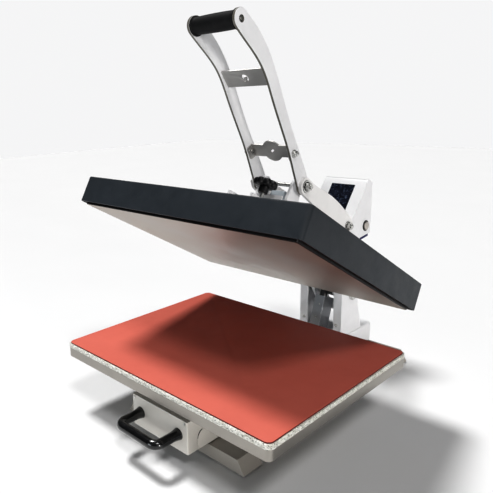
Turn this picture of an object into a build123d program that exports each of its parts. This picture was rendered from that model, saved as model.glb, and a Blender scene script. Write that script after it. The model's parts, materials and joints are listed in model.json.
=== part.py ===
from build123d import *
import os
from math import atan2, cos, degrees, radians, sin

os.makedirs("parts", exist_ok=True)

# A swing-up heat press with a pull-out lower platen, in millimetres.
# X runs to the machine's right, Y to the rear, Z up. The origin lies on the table,
# at the middle of the machine's footprint box.

# ---------------------------------------------------------------- driving sizes
# Lower platen stack, whose top is the pressing height.
PRESS_WIDTH, PRESS_DEPTH = 500, 400
PRESS_HEIGHT = 141
PRESS_FRONT_Y = -298.5
SILICONE_T, FELT_T, PLATEN_T = 2.5, 8.2, 18.8
FELT_RIM, PLATEN_RIM = 1.5, 2
PLATEN_CORNER_R = 10

# Raised upper platen: a frame tilted back about its lower front edge.
TILT = 29.2
COVER_FRONT_Y, COVER_FRONT_Z = -245.3, 419.2
COVER_WIDTH, COVER_DEPTH, COVER_HEIGHT = 516, 416, 51
COVER_WALL = 2.5
COVER_CORNER_R = 9
HOT_WIDTH, HOT_DEPTH, HOT_T = 495, 398, 17.5
HOT_PROUD = 3.5
PRESSURE_TRAVEL = 6

# Pivots, as (y, z). The link's lower end and the strut's upper end are set in the
# tilted frame as (distance behind the cover's front, height over its rim).
ARM_PIVOT = (250.5, 165)
LEVER_PIVOT = (213.5, 331)
LINK_TOP = (57.5, 435)
LINK_FOOT = (274.4, 82.8)
STRUT_HEAD = (517, 124.5)
STRUT_FOOT = (196.2, 89.2)
RUNNING = 0.05

# Base, feet and stand.
BEAM_HALF_W, BEAM_WALL = 56, 3
BEAM_BOTTOM, BEAM_TOP = 27.7, 75
BEAM_FRONT_Y, BEAM_REAR_Y = -238.5, 342
FOOT_PAD_T = 3
FOOT_TOP_HALF, FOOT_BOTTOM_HALF = 135, 149
STAND_IN, STAND_T = 50, 4
STAND_FRONT_Y, STAND_REAR_Y = 211.5, 279.5
STAND_FLANGE_IN = 34

# Drawer.
DRAWER_HALF_W, DRAWER_T = 71, 2
DRAWER_FRONT_Y = -283.3
DRAWER_BOTTOM, DRAWER_TOP = 29.5, 89.3
DRAWER_REAR_Y = 110
HANDLE_HALF, HANDLE_R, HANDLE_Z = 48.6, 8.5, 60
HANDLE_BAR_Y = -333.5
RAIL_Z = 51.3
RAIL_FRONT_Y, RAIL_LENGTH = -236, 380

# Lever, cranks, links and arm, as distances from the middle plane.
LEVER_IN, LEVER_T = 49, 5
CRANK_T, CRANK_RELIEF = 7, 1
LINK_IN, LINK_T = 34, 6
ARM_IN, ARM_T = 24, 6
BOSS_T = 3.5

cos_t = cos(radians(TILT))
sin_t = sin(radians(TILT))
pivot_y, pivot_z = ARM_PIVOT[0] - COVER_FRONT_Y, ARM_PIVOT[1] - COVER_FRONT_Z
ARM_PIVOT_TILTED = (pivot_y * cos_t - pivot_z * sin_t, pivot_y * sin_t + pivot_z * cos_t)


def tilted_level(height):
    """Plane parallel to the raised platen; its y runs back from the cover's front."""
    base = Plane(origin=(0, COVER_FRONT_Y, COVER_FRONT_Z), x_dir=(1, 0, 0), z_dir=(0, sin_t, cos_t))
    return base.offset(height)


def tilted_side(x):
    """Side-view plane of the raised platen: (distance back, height)."""
    return Plane(origin=(x, COVER_FRONT_Y, COVER_FRONT_Z), x_dir=(0, cos_t, -sin_t), z_dir=(1, 0, 0))


TILTED_UP = Axis((0, 0, 0), (0, sin_t, cos_t))


def side(x):
    """Side-view plane of the machine: (y, z), facing right."""
    return Plane.YZ.offset(x)


def starts(inner, thickness):
    """Where the left and the right of a pair of plates begin, along x."""
    return (-inner - thickness, inner)


# ================================================================ base
with BuildPart() as base_beam:
    with BuildSketch(Plane.XZ.offset(-BEAM_REAR_Y)):
        with Locations((0, (BEAM_BOTTOM + BEAM_TOP) / 2)):
            RectangleRounded(2 * BEAM_HALF_W, BEAM_TOP - BEAM_BOTTOM, 5)
            RectangleRounded(2 * (BEAM_HALF_W - BEAM_WALL), BEAM_TOP - BEAM_BOTTOM - 2 * BEAM_WALL, 3,
                             mode=Mode.SUBTRACT)
    extrude(amount=BEAM_REAR_Y - BEAM_FRONT_Y)
base_beam.part.label = "base_beam"
export_step(base_beam.part, "parts/base_beam.step")


# Cast feet, each with two counterbored holes for the bolts into the beam.
FOOT_BOLT_X, FOOT_BOLT_R, FOOT_COUNTERBORE_R = 32, 4, 9
FOOT_CORNER_R = 1.5
FOOT_SPANS = {"front_foot": (-233.9, -185.5), "rear_foot": (293, BEAM_REAR_Y)}
foot_bolt_places = []
for foot_name, (near, far) in FOOT_SPANS.items():
    middle = (near + far) / 2
    places = [(-FOOT_BOLT_X, middle), (FOOT_BOLT_X, middle)]
    foot_bolt_places += places
    with BuildPart() as foot:
        with BuildSketch(Plane.XZ.offset(-far)):
            Polygon((-FOOT_TOP_HALF, BEAM_BOTTOM), (FOOT_TOP_HALF, BEAM_BOTTOM),
                    (FOOT_BOTTOM_HALF, FOOT_PAD_T), (-FOOT_BOTTOM_HALF, FOOT_PAD_T), align=None)
        extrude(amount=far - near)
        for end in (0, -1):
            flared = foot.faces().sort_by(Axis.X)[end]
            fillet(flared.edges().sort_by(Axis.Z)[1:3], FOOT_CORNER_R)
        with BuildSketch(Plane.XY.offset(FOOT_PAD_T)):
            with Locations(*places):
                Circle(FOOT_BOLT_R + 0.3)
        extrude(amount=BEAM_BOTTOM, mode=Mode.SUBTRACT)
        with BuildSketch(Plane.XY.offset(FOOT_PAD_T)):
            with Locations(*places):
                Circle(FOOT_COUNTERBORE_R)
        extrude(amount=FOOT_COUNTERBORE_R, mode=Mode.SUBTRACT)
    foot.part.label = foot_name
    export_step(foot.part, f"parts/{foot_name}.step")

RUBBER_X, RUBBER_PAD = 120, (46, 38)
with BuildPart() as rubber_feet:
    for near, far in FOOT_SPANS.values():
        with BuildSketch():
            with Locations((-RUBBER_X, (near + far) / 2), (RUBBER_X, (near + far) / 2)):
                RectangleRounded(*RUBBER_PAD, 6)
        extrude(amount=FOOT_PAD_T)
rubber_feet.part.label = "rubber_feet"
export_step(rubber_feet.part, "parts/rubber_feet.step")

# Stand: two folded plates on the beam, each with a front flange, a bottom flange
# and an ear around the lever's pivot.
STAND_TOP_FRONT, STAND_TOP_REAR = (244.5, 341), (278.5, 292)
EAR_R = 20
STAND_SHEET, STAND_FLANGE_H, STAND_FOOT_L = 3, 225, 86
STAND_BOLT_YS, FLANGE_SCREW_ZS = (230, 280), (101, 190)
with BuildPart() as stand_side_plates:
    for start in starts(STAND_IN, STAND_T):
        with BuildSketch(side(start)):
            Polygon((STAND_FRONT_Y, BEAM_TOP), (STAND_FRONT_Y, LEVER_PIVOT[1] - 8),
                    (LEVER_PIVOT[0], LEVER_PIVOT[1] + EAR_R), STAND_TOP_FRONT, STAND_TOP_REAR,
                    (STAND_REAR_Y + 2, 135), (STAND_REAR_Y + 20, BEAM_TOP), align=None)
            with Locations(LEVER_PIVOT):
                Circle(EAR_R)
                Circle(5 + RUNNING, mode=Mode.SUBTRACT)
            with Locations(ARM_PIVOT):
                Circle(6 + RUNNING, mode=Mode.SUBTRACT)
        extrude(amount=STAND_T)
    for sign in (-1, 1):
        flange_x = sign * (STAND_FLANGE_IN + STAND_IN) / 2
        with BuildSketch(Plane.XY.offset(BEAM_TOP)):
            with Locations((flange_x, STAND_FRONT_Y + STAND_SHEET / 2)):
                Rectangle(STAND_IN - STAND_FLANGE_IN, STAND_SHEET)
        extrude(amount=STAND_FLANGE_H)
        with BuildSketch(Plane.XY.offset(BEAM_TOP)):
            with Locations((flange_x, STAND_FRONT_Y + STAND_FOOT_L / 2)):
                Rectangle(STAND_IN - STAND_FLANGE_IN, STAND_FOOT_L)
            with Locations(*[(flange_x, y) for y in STAND_BOLT_YS]):
                Circle(3.3, mode=Mode.SUBTRACT)
        extrude(amount=STAND_SHEET)
stand_side_plates.part.label = "stand_side_plates"
export_step(stand_side_plates.part, "parts/stand_side_plates.step")

with BuildPart() as stand_back_plate:
    with BuildSketch(Plane.XZ.offset(-STAND_REAR_Y)):
        with Locations((0, 170)):
            RectangleRounded(2 * STAND_IN, 120, 4)
            RectangleRounded(44, 70, 10, mode=Mode.SUBTRACT)
    extrude(amount=STAND_SHEET)
stand_back_plate.part.label = "stand_back_plate"
export_step(stand_back_plate.part, "parts/stand_back_plate.step")

# Frame screws: foot bolts up into the beam, stand bolts down into it, and the
# small screws on the front flanges.
with BuildPart() as frame_screws:
    for x, y in foot_bolt_places:
        with BuildSketch(Plane.XY.offset(FOOT_PAD_T + 2)):
            with Locations((x, y)):
                RegularPolygon(7, 6)
        extrude(amount=7)
        with BuildSketch(Plane.XY.offset(FOOT_PAD_T + 9)):
            with Locations((x, y)):
                Circle(FOOT_BOLT_R)
        extrude(amount=BEAM_BOTTOM - FOOT_PAD_T - 9)
    for x in (-42, 42):
        for y in STAND_BOLT_YS:
            with BuildSketch(Plane.XY.offset(BEAM_TOP + STAND_SHEET)):
                with Locations((x, y)):
                    RegularPolygon(6, 6)
            extrude(amount=5)
        with BuildSketch(Plane.XZ.offset(-STAND_FRONT_Y)):
            with Locations(*[(x, z) for z in FLANGE_SCREW_ZS]):
                Circle(3.5)
        extrude(amount=2.4)
frame_screws.part.label = "frame_screws"
export_step(frame_screws.part, "parts/frame_screws.step")

# Arm hinge: one pin through both plates, with spacer tubes beside the arm.
with BuildPart() as arm_hinge_pin:
    with BuildSketch(side(-62)):
        with Locations(ARM_PIVOT):
            RegularPolygon(10, 6)
    extrude(amount=8)
    with BuildSketch(side(-54)):
        with Locations(ARM_PIVOT):
            Circle(6)
    extrude(amount=108)
    with BuildSketch(side(54)):
        with Locations(ARM_PIVOT):
            RegularPolygon(10, 6)
    extrude(amount=8)
arm_hinge_pin.part.label = "arm_hinge_pin"
export_step(arm_hinge_pin.part, "parts/arm_hinge_pin.step")

with BuildPart() as hinge_spacers:
    for start in starts(30.2, 19.6):
        with BuildSketch(side(start)):
            with Locations(ARM_PIVOT):
                Circle(10)
                Circle(6 + RUNNING, mode=Mode.SUBTRACT)
        extrude(amount=19.6)
hinge_spacers.part.label = "hinge_spacers"
export_step(hinge_spacers.part, "parts/hinge_spacers.step")

# Lever pivots: a bolt each side, head inside the ear, washer and nut outside the crank.
with BuildPart() as crank_pivot_bolts:
    for sign in (-1, 1):
        for near, far, radius, sides in ((44, 50, 9, 6), (50, 61.4, 5, 0), (61.4, 63, 11, 0),
                                         (63, 69, 8.5, 6), (69, 72, 4.9, 0)):
            with BuildSketch(side(sign * near)):
                with Locations(LEVER_PIVOT):
                    if sides:
                        RegularPolygon(radius, sides)
                    else:
                        Circle(radius)
            extrude(amount=sign * (far - near))
crank_pivot_bolts.part.label = "crank_pivot_bolts"
export_step(crank_pivot_bolts.part, "parts/crank_pivot_bolts.step")

# Gas strut's foot: a clevis on the beam with its pin.
with BuildPart() as strut_bracket:
    for start in starts(13.5, 3):
        with BuildSketch(side(start)):
            Polygon((STRUT_FOOT[0] - 14, BEAM_TOP), (STRUT_FOOT[0] + 14, BEAM_TOP),
                    (STRUT_FOOT[0] + 9, STRUT_FOOT[1]), (STRUT_FOOT[0] - 9, STRUT_FOOT[1]), align=None)
            with Locations(STRUT_FOOT):
                Circle(9)
        extrude(amount=3)
    with BuildSketch(Plane.XY.offset(BEAM_TOP)):
        with Locations((0, STRUT_FOOT[0])):
            Rectangle(33, 28)
    extrude(amount=2.5)
    with BuildSketch(side(-20)):
        with Locations(STRUT_FOOT):
            Circle(4)
    extrude(amount=40)
strut_bracket.part.label = "strut_bracket"
export_step(strut_bracket.part, "parts/strut_bracket.step")

# ---------------------------------------------------------------- controller
CASE_HALF = 54
CASE_WALL = 2
CASE_TOP_FRONT, CASE_TOP_REAR, CASE_LOW_REAR = (307.5, 422), (326.5, 411), (323.5, 297)
DISPLAY_SIZE, DISPLAY_DROP, DISPLAY_T = (58, 66), 52, 3
BUTTON_AT, BUTTON_R = (301.5, 316.5), 9.3

slope_y = CASE_TOP_FRONT[0] - STAND_TOP_FRONT[0]
slope_z = CASE_TOP_FRONT[1] - STAND_TOP_FRONT[1]
case_slope = degrees(atan2(slope_z, slope_y))
case_face = Plane(origin=(0, *CASE_TOP_FRONT), x_dir=(1, 0, 0),
                  z_dir=(0, -sin(radians(case_slope)), cos(radians(case_slope))))


CASE_CORNERS = (STAND_TOP_FRONT, CASE_TOP_FRONT, CASE_TOP_REAR, CASE_LOW_REAR, STAND_TOP_REAR)


def rear_cover_corners(margin, inward, outward):
    """Side-view corners of the cover let into the case's rear wall, grown by margins."""
    low, high = CASE_LOW_REAR[1] + 5 - margin, CASE_TOP_REAR[1] - 5 + margin
    return ((CASE_LOW_REAR[0] - inward, low), (CASE_LOW_REAR[0] + outward, low),
            (CASE_TOP_REAR[0] + outward, high), (CASE_TOP_REAR[0] - inward, high))


with BuildPart() as controller_case:
    with BuildSketch(side(-CASE_HALF)):
        Polygon(*CASE_CORNERS, align=None)
    extrude(amount=2 * CASE_HALF)
    fillet(controller_case.edges().filter_by(Axis.X).group_by(Axis.Z)[-1], 9)
    with BuildSketch(side(-CASE_HALF + CASE_WALL)):
        Polygon(*CASE_CORNERS, align=None)
        offset(amount=-CASE_WALL, kind=Kind.INTERSECTION, mode=Mode.REPLACE)
    extrude(amount=2 * (CASE_HALF - CASE_WALL), mode=Mode.SUBTRACT)
    with BuildSketch(side(-CASE_HALF + 5)):
        Polygon(*rear_cover_corners(0.3, CASE_WALL + 2, 5), align=None)
    extrude(amount=2 * (CASE_HALF - 5), mode=Mode.SUBTRACT)
    with BuildSketch(case_face.offset(-8)):
        with Locations((-1, -DISPLAY_DROP)):
            Rectangle(DISPLAY_SIZE[0] + 0.4, DISPLAY_SIZE[1] + 0.4)
    extrude(amount=10, mode=Mode.SUBTRACT)
    with BuildSketch(side(CASE_HALF - 4)):
        with Locations(BUTTON_AT):
            Circle(BUTTON_R + 0.7)
    extrude(amount=6, mode=Mode.SUBTRACT)
controller_case.part.label = "controller_case"
export_step(controller_case.part, "parts/controller_case.step")

INLET_Z, VENT_Z = 350, 392
VENT_XS = range(-38, 35, 12)
with BuildPart() as case_rear_cover:
    with BuildSketch(side(-CASE_HALF + 5.3)):
        Polygon(*rear_cover_corners(0, CASE_WALL, 0), align=None)
    extrude(amount=2 * (CASE_HALF - 5.3))
    with BuildSketch(Plane.XZ.offset(-340)):
        with Locations((0, INLET_Z)):
            Rectangle(27.4, 20.4)
        with Locations(*[(x, VENT_Z) for x in VENT_XS]):
            SlotOverall(14, 3, rotation=90)
    extrude(amount=40, mode=Mode.SUBTRACT)
case_rear_cover.part.label = "case_rear_cover"
export_step(case_rear_cover.part, "parts/case_rear_cover.step")

with BuildPart() as display_glass:
    with BuildSketch(case_face.offset(0.4)):
        with Locations((-1, -DISPLAY_DROP)):
            RectangleRounded(*DISPLAY_SIZE, 1.5)
    extrude(amount=-DISPLAY_T)
display_glass.part.label = "display_glass"
export_step(display_glass.part, "parts/display_glass.step")

with BuildPart() as control_board:
    with BuildSketch(case_face.offset(-9)):
        with Locations((-1, -DISPLAY_DROP)):
            Rectangle(80, 76)
    extrude(amount=-1.6)
    with BuildSketch(case_face.offset(-10.6)):
        with Locations((-25, -30), (18, -30), (-22, -66)):
            Rectangle(16, 16)
    extrude(amount=-10)
    with BuildSketch(case_face.offset(-9)):
        with Locations((-1, -DISPLAY_DROP)):
            Rectangle(50, 58)
    extrude(amount=6)
control_board.part.label = "control_board"
export_step(control_board.part, "parts/control_board.step")

with BuildPart() as case_gasket:
    with BuildSketch(side(-CASE_HALF + 1)):
        Polygon((282, 288.2), (282, 292.2), (316, 296.0), (316, 292.0), align=None)
    extrude(amount=2 * (CASE_HALF - 1))
case_gasket.part.label = "case_gasket"
export_step(case_gasket.part, "parts/case_gasket.step")

with BuildPart() as button_bezel:
    with BuildSketch(side(CASE_HALF)):
        with Locations(BUTTON_AT):
            Circle(12)
            Circle(BUTTON_R + 0.4, mode=Mode.SUBTRACT)
    extrude(amount=1.6)
    chamfer(button_bezel.faces().sort_by(Axis.X)[-1].edges(), 0.5)
button_bezel.part.label = "button_bezel"
export_step(button_bezel.part, "parts/button_bezel.step")

with BuildPart() as power_inlet:
    with BuildSketch(Plane.XZ.offset(-327.5)):
        with Locations((0, INLET_Z)):
            RectangleRounded(34, 26, 3)
    extrude(amount=2.2)
    with BuildSketch(Plane.XZ.offset(-325.3)):
        with Locations((0, INLET_Z)):
            Rectangle(27, 20)
    extrude(amount=20)
    with BuildSketch(Plane.XZ.offset(-327.5)):
        with Locations((0, INLET_Z)):
            RectangleRounded(22, 15, 3)
    extrude(amount=14, mode=Mode.SUBTRACT)
    with BuildSketch(Plane.XZ.offset(-326)):
        with Locations((-7, INLET_Z - 2), (0, INLET_Z + 2), (7, INLET_Z - 2)):
            Rectangle(2, 4)
    extrude(amount=13)
power_inlet.part.label = "power_inlet"
export_step(power_inlet.part, "parts/power_inlet.step")

with BuildPart() as power_button:
    with BuildSketch(side(CASE_HALF - 8)):
        with Locations(BUTTON_AT):
            Circle(BUTTON_R)
    extrude(amount=12)
    fillet(power_button.faces().sort_by(Axis.X)[-1].edges(), 1)
power_button.part.label = "power_button"
export_step(power_button.part, "parts/power_button.step")


# ================================================================ drawer slides
def rail_profile(back_x, lip_x, half_height, sheet):
    """End view of one C-shaped slide member on the right; the back is at back_x."""
    web = (min(back_x, lip_x), max(back_x, lip_x))
    back = back_x if back_x < lip_x else back_x - sheet
    with Locations(((web[0] + web[1]) / 2, RAIL_Z + half_height - sheet / 2),
                   ((web[0] + web[1]) / 2, RAIL_Z - half_height + sheet / 2)):
        Rectangle(web[1] - web[0], sheet)
    with Locations((back + sheet / 2, RAIL_Z)):
        Rectangle(sheet, 2 * half_height)


RAIL_SHEET = 1.2
RAILS = {
    "outer_slide_rails": (56, 67, 21),
    "middle_slide_rails": (58.4, 66.4, 16.5),
    "inner_slide_rails": (69, 60.6, 12),
}
for rail_name, (back_x, lip_x, half_height) in RAILS.items():
    with BuildPart() as rails:
        with BuildSketch(Plane.XZ.offset(-RAIL_FRONT_Y - RAIL_LENGTH)):
            rail_profile(back_x, lip_x, half_height, RAIL_SHEET)
        extrude(amount=RAIL_LENGTH)
        mirror(about=Plane.YZ)
    rails.part.label = rail_name
    export_step(rails.part, f"parts/{rail_name}.step")

# ================================================================ drawer
SEAM_LOW, SEAM_R = (-259.9, 50.3), 13.4
SEAM_REAR_Y = -215
SEAM_GAP = 0.8


def drawer_section(width, lower, upper):
    """End view rectangle of the drawer box, from a lower to an upper height."""
    with Locations((0, (lower + upper) / 2)):
        Rectangle(width, upper - lower)


def seam_outline(shift):
    """Side view of what lies ahead of the curved seam, with the seam moved back by shift."""
    centre = (SEAM_LOW[0] + SEAM_R, SEAM_LOW[1])
    with BuildSketch() as ahead:
        Polygon((SEAM_LOW[0] + shift, centre[1]), (SEAM_LOW[0] + shift, DRAWER_BOTTOM - 1),
                (DRAWER_FRONT_Y - 1, DRAWER_BOTTOM - 1), (DRAWER_FRONT_Y - 1, DRAWER_TOP + 1),
                (SEAM_REAR_Y + shift, DRAWER_TOP + 1), (SEAM_REAR_Y + shift, centre[1] + SEAM_R - shift),
                (centre[0], centre[1] + SEAM_R - shift), centre, align=None)
        with Locations(centre):
            Circle(SEAM_R - shift, mode=Mode.SUBTRACT)
    return ahead.sketch


with BuildPart() as drawer_carriage:
    with BuildSketch(Plane.XZ.offset(-DRAWER_REAR_Y)):
        drawer_section(2 * DRAWER_HALF_W, DRAWER_BOTTOM, DRAWER_TOP)
    extrude(amount=DRAWER_REAR_Y - DRAWER_FRONT_Y - DRAWER_T)
    fillet(drawer_carriage.edges().filter_by(Axis.Y).group_by(Axis.Z)[-1], 2.5)
    with BuildSketch(Plane.XZ.offset(-DRAWER_REAR_Y - 1)):
        drawer_section(2 * (DRAWER_HALF_W - DRAWER_T), DRAWER_BOTTOM - 1, DRAWER_TOP - DRAWER_T)
    extrude(amount=500, mode=Mode.SUBTRACT)
    with BuildSketch(side(-DRAWER_HALF_W - 1)):
        add(seam_outline(SEAM_GAP))
    extrude(amount=2 * DRAWER_HALF_W + 2, mode=Mode.SUBTRACT)
    # Tongue under the front cover's top, with a tab behind its face.
    with BuildSketch(Plane.XZ.offset(-SEAM_REAR_Y - 30)):
        drawer_section(2 * (DRAWER_HALF_W - DRAWER_T) - 2, DRAWER_TOP - 2 * DRAWER_T, DRAWER_TOP - DRAWER_T)
    extrude(amount=SEAM_REAR_Y + 30 - DRAWER_FRONT_Y - DRAWER_T)
    with BuildSketch(Plane.XZ.offset(-DRAWER_FRONT_Y - 2 * DRAWER_T)):
        drawer_section(2 * (DRAWER_HALF_W - DRAWER_T) - 2, 80, DRAWER_TOP - DRAWER_T)
    extrude(amount=DRAWER_T)
drawer_carriage.part.label = "drawer_carriage"
export_step(drawer_carriage.part, "parts/drawer_carriage.step")

with BuildPart() as drawer_front:
    with BuildSketch(side(-DRAWER_HALF_W)):
        add(seam_outline(0))
    extrude(amount=2 * DRAWER_HALF_W)
    with BuildSketch(side(-DRAWER_HALF_W)):
        with Locations(((DRAWER_FRONT_Y + SEAM_REAR_Y) / 2, (DRAWER_BOTTOM + DRAWER_TOP) / 2)):
            Rectangle(SEAM_REAR_Y - DRAWER_FRONT_Y, DRAWER_TOP - DRAWER_BOTTOM)
    extrude(amount=2 * DRAWER_HALF_W, mode=Mode.INTERSECT)
    fillet(drawer_front.edges().filter_by(Axis.Z).group_by(Axis.Y)[0], 2)
    with BuildSketch(side(-DRAWER_HALF_W + DRAWER_T)):
        with Locations((0, (DRAWER_BOTTOM + DRAWER_TOP) / 2 - DRAWER_T)):
            Rectangle(2 * abs(DRAWER_FRONT_Y + DRAWER_T), DRAWER_TOP - DRAWER_BOTTOM)
    extrude(amount=2 * (DRAWER_HALF_W - DRAWER_T), mode=Mode.SUBTRACT)
drawer_front.part.label = "drawer_front"
export_step(drawer_front.part, "parts/drawer_front.step")

with BuildPart() as drawer_handle:
    with BuildLine():
        FilletPolyline((HANDLE_HALF, DRAWER_FRONT_Y, HANDLE_Z), (HANDLE_HALF, HANDLE_BAR_Y, HANDLE_Z),
                       (-HANDLE_HALF, HANDLE_BAR_Y, HANDLE_Z), (-HANDLE_HALF, DRAWER_FRONT_Y, HANDLE_Z),
                       radius=11)
    with BuildSketch(Plane(origin=(HANDLE_HALF, DRAWER_FRONT_Y, HANDLE_Z), z_dir=(0, -1, 0))):
        Circle(HANDLE_R)
    sweep()
    with BuildSketch(Plane.XZ.offset(-DRAWER_FRONT_Y)):
        with Locations((-HANDLE_HALF, HANDLE_Z), (HANDLE_HALF, HANDLE_Z)):
            Circle(2.6)
    extrude(amount=16, mode=Mode.SUBTRACT)
drawer_handle.part.label = "drawer_handle"
export_step(drawer_handle.part, "parts/drawer_handle.step")

# Handle screws behind the drawer's face, and two small screws on the face's upper corners.
with BuildPart() as drawer_screws:
    with BuildSketch(Plane.XZ.offset(-DRAWER_FRONT_Y - DRAWER_T)):
        with Locations((-HANDLE_HALF, HANDLE_Z), (HANDLE_HALF, HANDLE_Z)):
            RegularPolygon(5, 6)
    extrude(amount=-4)
    with BuildSketch(Plane.XZ.offset(-DRAWER_FRONT_Y)):
        with Locations((-65, 85), (65, 85)):
            Circle(2.6)
    extrude(amount=1.5)
drawer_screws.part.label = "drawer_screws"
export_step(drawer_screws.part, "parts/drawer_screws.step")

# ---------------------------------------------------------------- lower platen stack
platen_middle = (0, PRESS_FRONT_Y + PRESS_DEPTH / 2)
FELT_BOTTOM = PRESS_HEIGHT - SILICONE_T - FELT_T
PLATEN_BOTTOM = FELT_BOTTOM - PLATEN_T
STANDOFF_PLACES = [(x, platen_middle[1] + y) for x in (-52, 52) for y in (-120, 120)]

with BuildPart() as platen_standoffs:
    with BuildSketch(Plane.XY.offset(DRAWER_TOP)):
        with Locations(*STANDOFF_PLACES):
            Circle(12)
            Circle(4.2, mode=Mode.SUBTRACT)
    extrude(amount=PLATEN_BOTTOM - DRAWER_TOP)
platen_standoffs.part.label = "platen_standoffs"
export_step(platen_standoffs.part, "parts/platen_standoffs.step")

with BuildPart() as lower_platen:
    with BuildSketch(Plane.XY.offset(PLATEN_BOTTOM)):
        with Locations(platen_middle):
            RectangleRounded(PRESS_WIDTH + 2 * PLATEN_RIM, PRESS_DEPTH + 2 * PLATEN_RIM, PLATEN_CORNER_R)
    extrude(amount=PLATEN_T)
    chamfer(lower_platen.faces().sort_by(Axis.Z)[0].edges(), 0.8)
    with BuildSketch(Plane.XY.offset(PLATEN_BOTTOM)):
        with Locations(*STANDOFF_PLACES):
            Circle(3.4)
    extrude(amount=12, mode=Mode.SUBTRACT)
lower_platen.part.label = "lower_platen"
export_step(lower_platen.part, "parts/lower_platen.step")

with BuildPart() as felt_layer:
    with BuildSketch(Plane.XY.offset(FELT_BOTTOM)):
        with Locations(platen_middle):
            RectangleRounded(PRESS_WIDTH + 2 * FELT_RIM, PRESS_DEPTH + 2 * FELT_RIM, PLATEN_CORNER_R)
    extrude(amount=FELT_T)
felt_layer.part.label = "felt_layer"
export_step(felt_layer.part, "parts/felt_layer.step")

with BuildPart() as silicone_pad:
    with BuildSketch(Plane.XY.offset(PRESS_HEIGHT - SILICONE_T)):
        with Locations(platen_middle):
            RectangleRounded(PRESS_WIDTH, PRESS_DEPTH, PLATEN_CORNER_R)
    extrude(amount=SILICONE_T)
silicone_pad.part.label = "silicone_pad"
export_step(silicone_pad.part, "parts/silicone_pad.step")

# ================================================================ arm
ARM_FRONT, ARM_LOW, ARM_HIGH = 150, 66, 104
CARRIER_T = 6
CARRIER_HALF, CARRIER_SPAN = 105, (160, 300)
LINK_SLOT_X, LINK_SLOT_W, LINK_SLOT_L = 40, 17, 56
SPINDLE_AT = 212
GUIDE_PLACES = [(x, d) for x in (-90, 90) for d in (175, 285)]
CROSS_TUBES = ((350, 85), (455, 84))

# Side view of an arm plate: a long bar, then a web round the hinge and the strut's pin.
with BuildSketch() as arm_profile:
    with Locations(ARM_PIVOT_TILTED):
        Circle(22)
    with Locations(STRUT_HEAD):
        Circle(12)
    with Locations((430, (ARM_LOW + ARM_HIGH) / 2)):
        Circle((ARM_HIGH - ARM_LOW) / 2)
    make_hull()
    with Locations(((ARM_FRONT + 430) / 2, (ARM_LOW + ARM_HIGH) / 2)):
        Rectangle(430 - ARM_FRONT, ARM_HIGH - ARM_LOW)
    with Locations(ARM_PIVOT_TILTED):
        Circle(6 + RUNNING, mode=Mode.SUBTRACT)
    with Locations(STRUT_HEAD):
        Circle(4, mode=Mode.SUBTRACT)

for arm_name, sign in (("arm_plate_left", -1), ("arm_plate_right", 1)):
    with BuildPart() as arm_plate:
        with BuildSketch(tilted_side(sign * ARM_IN)):
            add(arm_profile.sketch)
        extrude(amount=sign * ARM_T)
        with BuildSketch(tilted_side(sign * (ARM_IN + ARM_T))):
            with Locations(LINK_FOOT):
                Circle(12)
        extrude(amount=sign * BOSS_T)
    arm_plate.part.label = arm_name
    export_step(arm_plate.part, f"parts/{arm_name}.step")

with BuildPart() as carrier_plate:
    with BuildSketch(tilted_level(ARM_LOW - CARRIER_T)):
        with Locations((0, sum(CARRIER_SPAN) / 2)):
            RectangleRounded(2 * CARRIER_HALF, CARRIER_SPAN[1] - CARRIER_SPAN[0], 10)
        with Locations((0, SPINDLE_AT)):
            Circle(5 + RUNNING, mode=Mode.SUBTRACT)
        with Locations(*GUIDE_PLACES):
            Circle(6 + RUNNING, mode=Mode.SUBTRACT)
        # Slots that the links' lower ends swing through.
        with Locations((-LINK_SLOT_X, CARRIER_SPAN[1]), (LINK_SLOT_X, CARRIER_SPAN[1])):
            RectangleRounded(LINK_SLOT_W, 2 * LINK_SLOT_L, 5, mode=Mode.SUBTRACT)
    extrude(amount=CARRIER_T)
carrier_plate.part.label = "carrier_plate"
export_step(carrier_plate.part, "parts/carrier_plate.step")

with BuildPart() as arm_cross_tubes:
    for place in CROSS_TUBES:
        with BuildSketch(tilted_side(-ARM_IN)):
            with Locations(place):
                Circle(9)
                Circle(4, mode=Mode.SUBTRACT)
        extrude(amount=2 * ARM_IN)
    with BuildSketch(tilted_side(-ARM_IN)):
        with Locations(ARM_PIVOT_TILTED):
            Circle(10.5)
            Circle(6 + RUNNING, mode=Mode.SUBTRACT)
    extrude(amount=2 * ARM_IN)
arm_cross_tubes.part.label = "arm_cross_tubes"
export_step(arm_cross_tubes.part, "parts/arm_cross_tubes.step")

with BuildPart() as arm_bolts:
    for place in CROSS_TUBES:
        for sign in (-1, 1):
            with BuildSketch(tilted_side(sign * (ARM_IN + ARM_T))):
                with Locations(place):
                    RegularPolygon(6.5, 6)
            extrude(amount=sign * 3)
    for sign in (-1, 1):
        with BuildSketch(tilted_level(ARM_LOW)):
            with Locations((sign * 60, 190), (sign * 60, 270)):
                RegularPolygon(6.5, 6)
        extrude(amount=5)
arm_bolts.part.label = "arm_bolts"
export_step(arm_bolts.part, "parts/arm_bolts.step")

with BuildPart() as strut_upper_pin:
    with BuildSketch(tilted_side(-32)):
        with Locations(STRUT_HEAD):
            Circle(4)
    extrude(amount=64)
strut_upper_pin.part.label = "strut_upper_pin"
export_step(strut_upper_pin.part, "parts/strut_upper_pin.step")

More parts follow.
